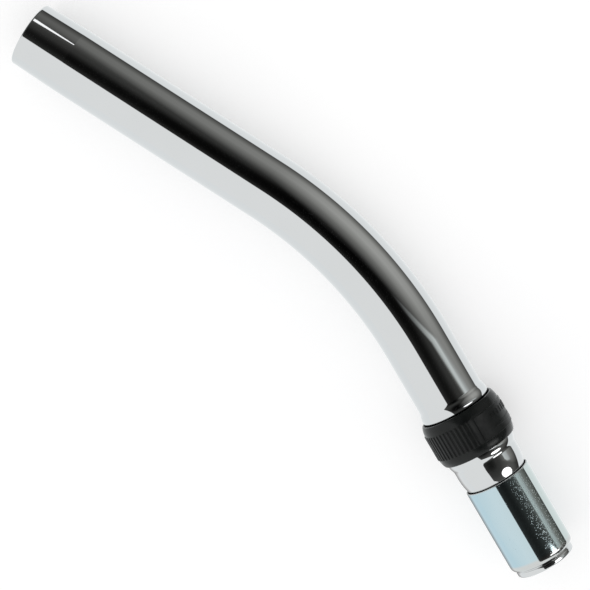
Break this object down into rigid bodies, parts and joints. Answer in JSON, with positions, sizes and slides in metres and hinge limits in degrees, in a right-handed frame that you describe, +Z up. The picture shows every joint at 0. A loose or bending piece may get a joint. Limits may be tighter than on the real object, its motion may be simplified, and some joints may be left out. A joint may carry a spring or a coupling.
{
  "type": "vacuum hose end",
  "caption": "Bent chromed steel hand tube for a vacuum hose, with a ribbed black suction regulator ring and a zinc-plated swivel sleeve for the hose.",
  "frame": {"origin": "middle of the part's outline on the floor that it lies on", "axes": "+X along the straight wand leg and out of the wand mouth, +Z up from the floor, the hose leg runs to -X and bends towards +Y"},
  "size_m": [0.341, 0.1082, 0.0399],
  "materials": {
    "chrome": "bright chrome plate on drawn steel tube",
    "black_plastic": "moulded black plastic, semi-matt",
    "zinc": "blue-passivated zinc plate on thin rolled steel, lightly scuffed"
  },
  "bodies": {
    "tube": {"bent_tube": "chrome"},
    "ring": {"regulator_ring": "black_plastic"},
    "sleeve": {"swivel_sleeve": "zinc"}
  },
  "joints": [
    {"name": "regulator_turn", "type": "hinge", "parent": "tube", "child": "ring", "pos_m": [-0.09896, 0.00728, 0.01994], "axis": [-0.8838, 0.4662, 0.0404], "continuous": true},
    {"name": "sleeve_swivel", "type": "hinge", "parent": "tube", "child": "sleeve", "pos_m": [-0.14199, 0.02998, 0.0219], "axis": [-0.8838, 0.4662, 0.0404], "continuous": true}
  ]
}
